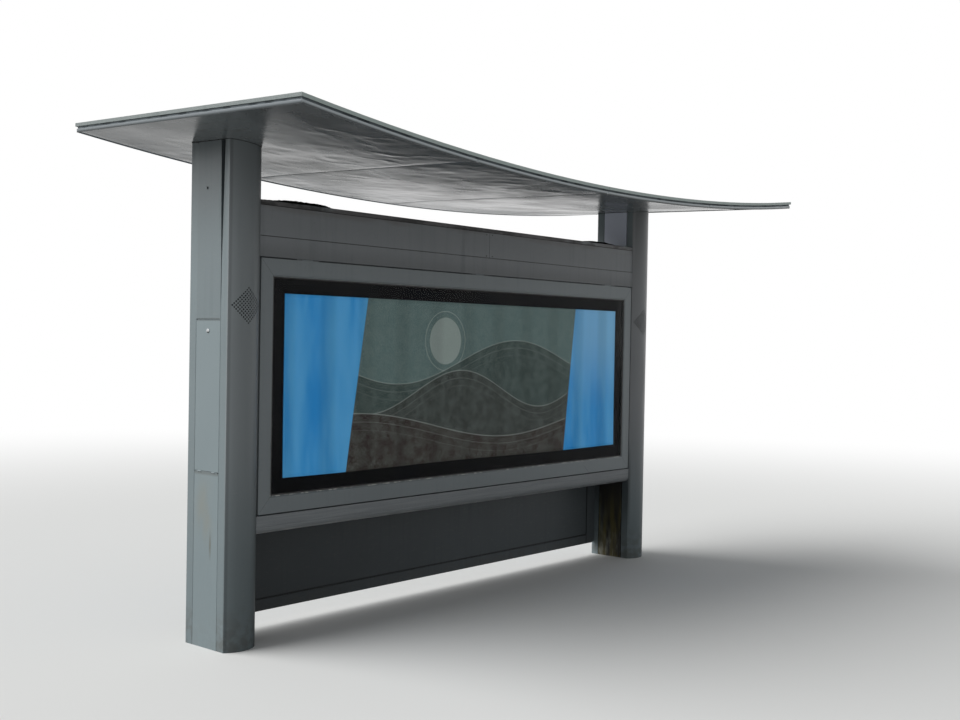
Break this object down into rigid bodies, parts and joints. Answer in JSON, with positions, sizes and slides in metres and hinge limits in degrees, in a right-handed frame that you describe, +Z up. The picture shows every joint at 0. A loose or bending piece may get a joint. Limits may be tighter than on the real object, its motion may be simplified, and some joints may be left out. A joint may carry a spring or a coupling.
{
  "type": "bus shelter",
  "caption": "Bus shelter: two bowed columns, a glazed poster case with a top-hung door between them, and a thin overhanging roof curved along its length.",
  "frame": {"origin": "on the floor, under the middle of the roof", "axes": "+X along the shelter to the right seen from the sidewalk, +Y from the sidewalk to the road, +Z up"},
  "size_m": [4.896, 1.8742, 2.8389],
  "materials": {
    "column_paint": "satin grey powder coat on sheet steel",
    "case_paint": "satin grey powder coat on aluminium sections",
    "rail_paint": "satin grey paint on sheet steel",
    "skirt_paint": "satin grey paint on sheet steel",
    "soffit_paint": "glossy grey paint on thin sheet",
    "roof_paint": "weathered grey paint on folded sheet",
    "galvanised_steel": "hot-dip galvanised",
    "lock_chrome": "polished",
    "case_glass": "clear toughened glass",
    "poster_print": "printed poster film",
    "box_paint": "white paint on aluminium sheet"
  },
  "bodies": {
    "shelter": {"bottom_rail": "rail_paint", "case_hinge": "galvanised_steel", "header_cap": "rail_paint", "header_panel_left": "rail_paint", "header_panel_right": "rail_paint", "header_rail": "rail_paint", "inner_panel_left": "column_paint", "inner_panel_right": "column_paint", "light_box": "box_paint", "lower_panel_left": "column_paint", "lower_panel_right": "column_paint", "middle_panel_right": "column_paint", "post_left": "galvanised_steel", "post_right": "galvanised_steel", "poster_board": "poster_print", "road_cladding_left": "column_paint", "road_cladding_right": "column_paint", "road_frame_bottom": "case_paint", "road_frame_left": "case_paint", "road_frame_right": "case_paint", "road_frame_top": "case_paint", "road_glass": "case_glass", "road_poster_board": "poster_print", "roof_frame": "galvanised_steel", "roof_sheet_left": "roof_paint", "roof_sheet_right": "roof_paint", "roof_trim_left": "roof_paint", "roof_trim_right": "roof_paint", "sidewalk_cladding_left": "column_paint", "sidewalk_cladding_right": "column_paint", "skirt_frame": "skirt_paint", "skirt_panel": "skirt_paint", "soffit_1": "soffit_paint", "soffit_2": "soffit_paint", "soffit_3": "soffit_paint", "soffit_4": "soffit_paint", "upper_panel_left": "column_paint", "upper_panel_right": "column_paint"},
    "case_door": {"case_door_top": "case_paint", "case_door_bottom": "case_paint", "case_door_left": "case_paint", "case_door_right": "case_paint", "case_glass": "case_glass"},
    "service_door": {"service_door": "column_paint", "door_lock": "lock_chrome"}
  },
  "joints": [
    {"name": "case_door_hinge", "type": "hinge", "parent": "shelter", "child": "case_door", "pos_m": [0, 0.086, 2.121], "axis": [-1, 0, 0], "range_deg": [0, 75]},
    {"name": "service_door_hinge", "type": "hinge", "parent": "shelter", "child": "service_door", "pos_m": [-2.051, 0.2515, 0.952], "axis": [0, -1, 0], "range_deg": [0, 110]}
  ]
}
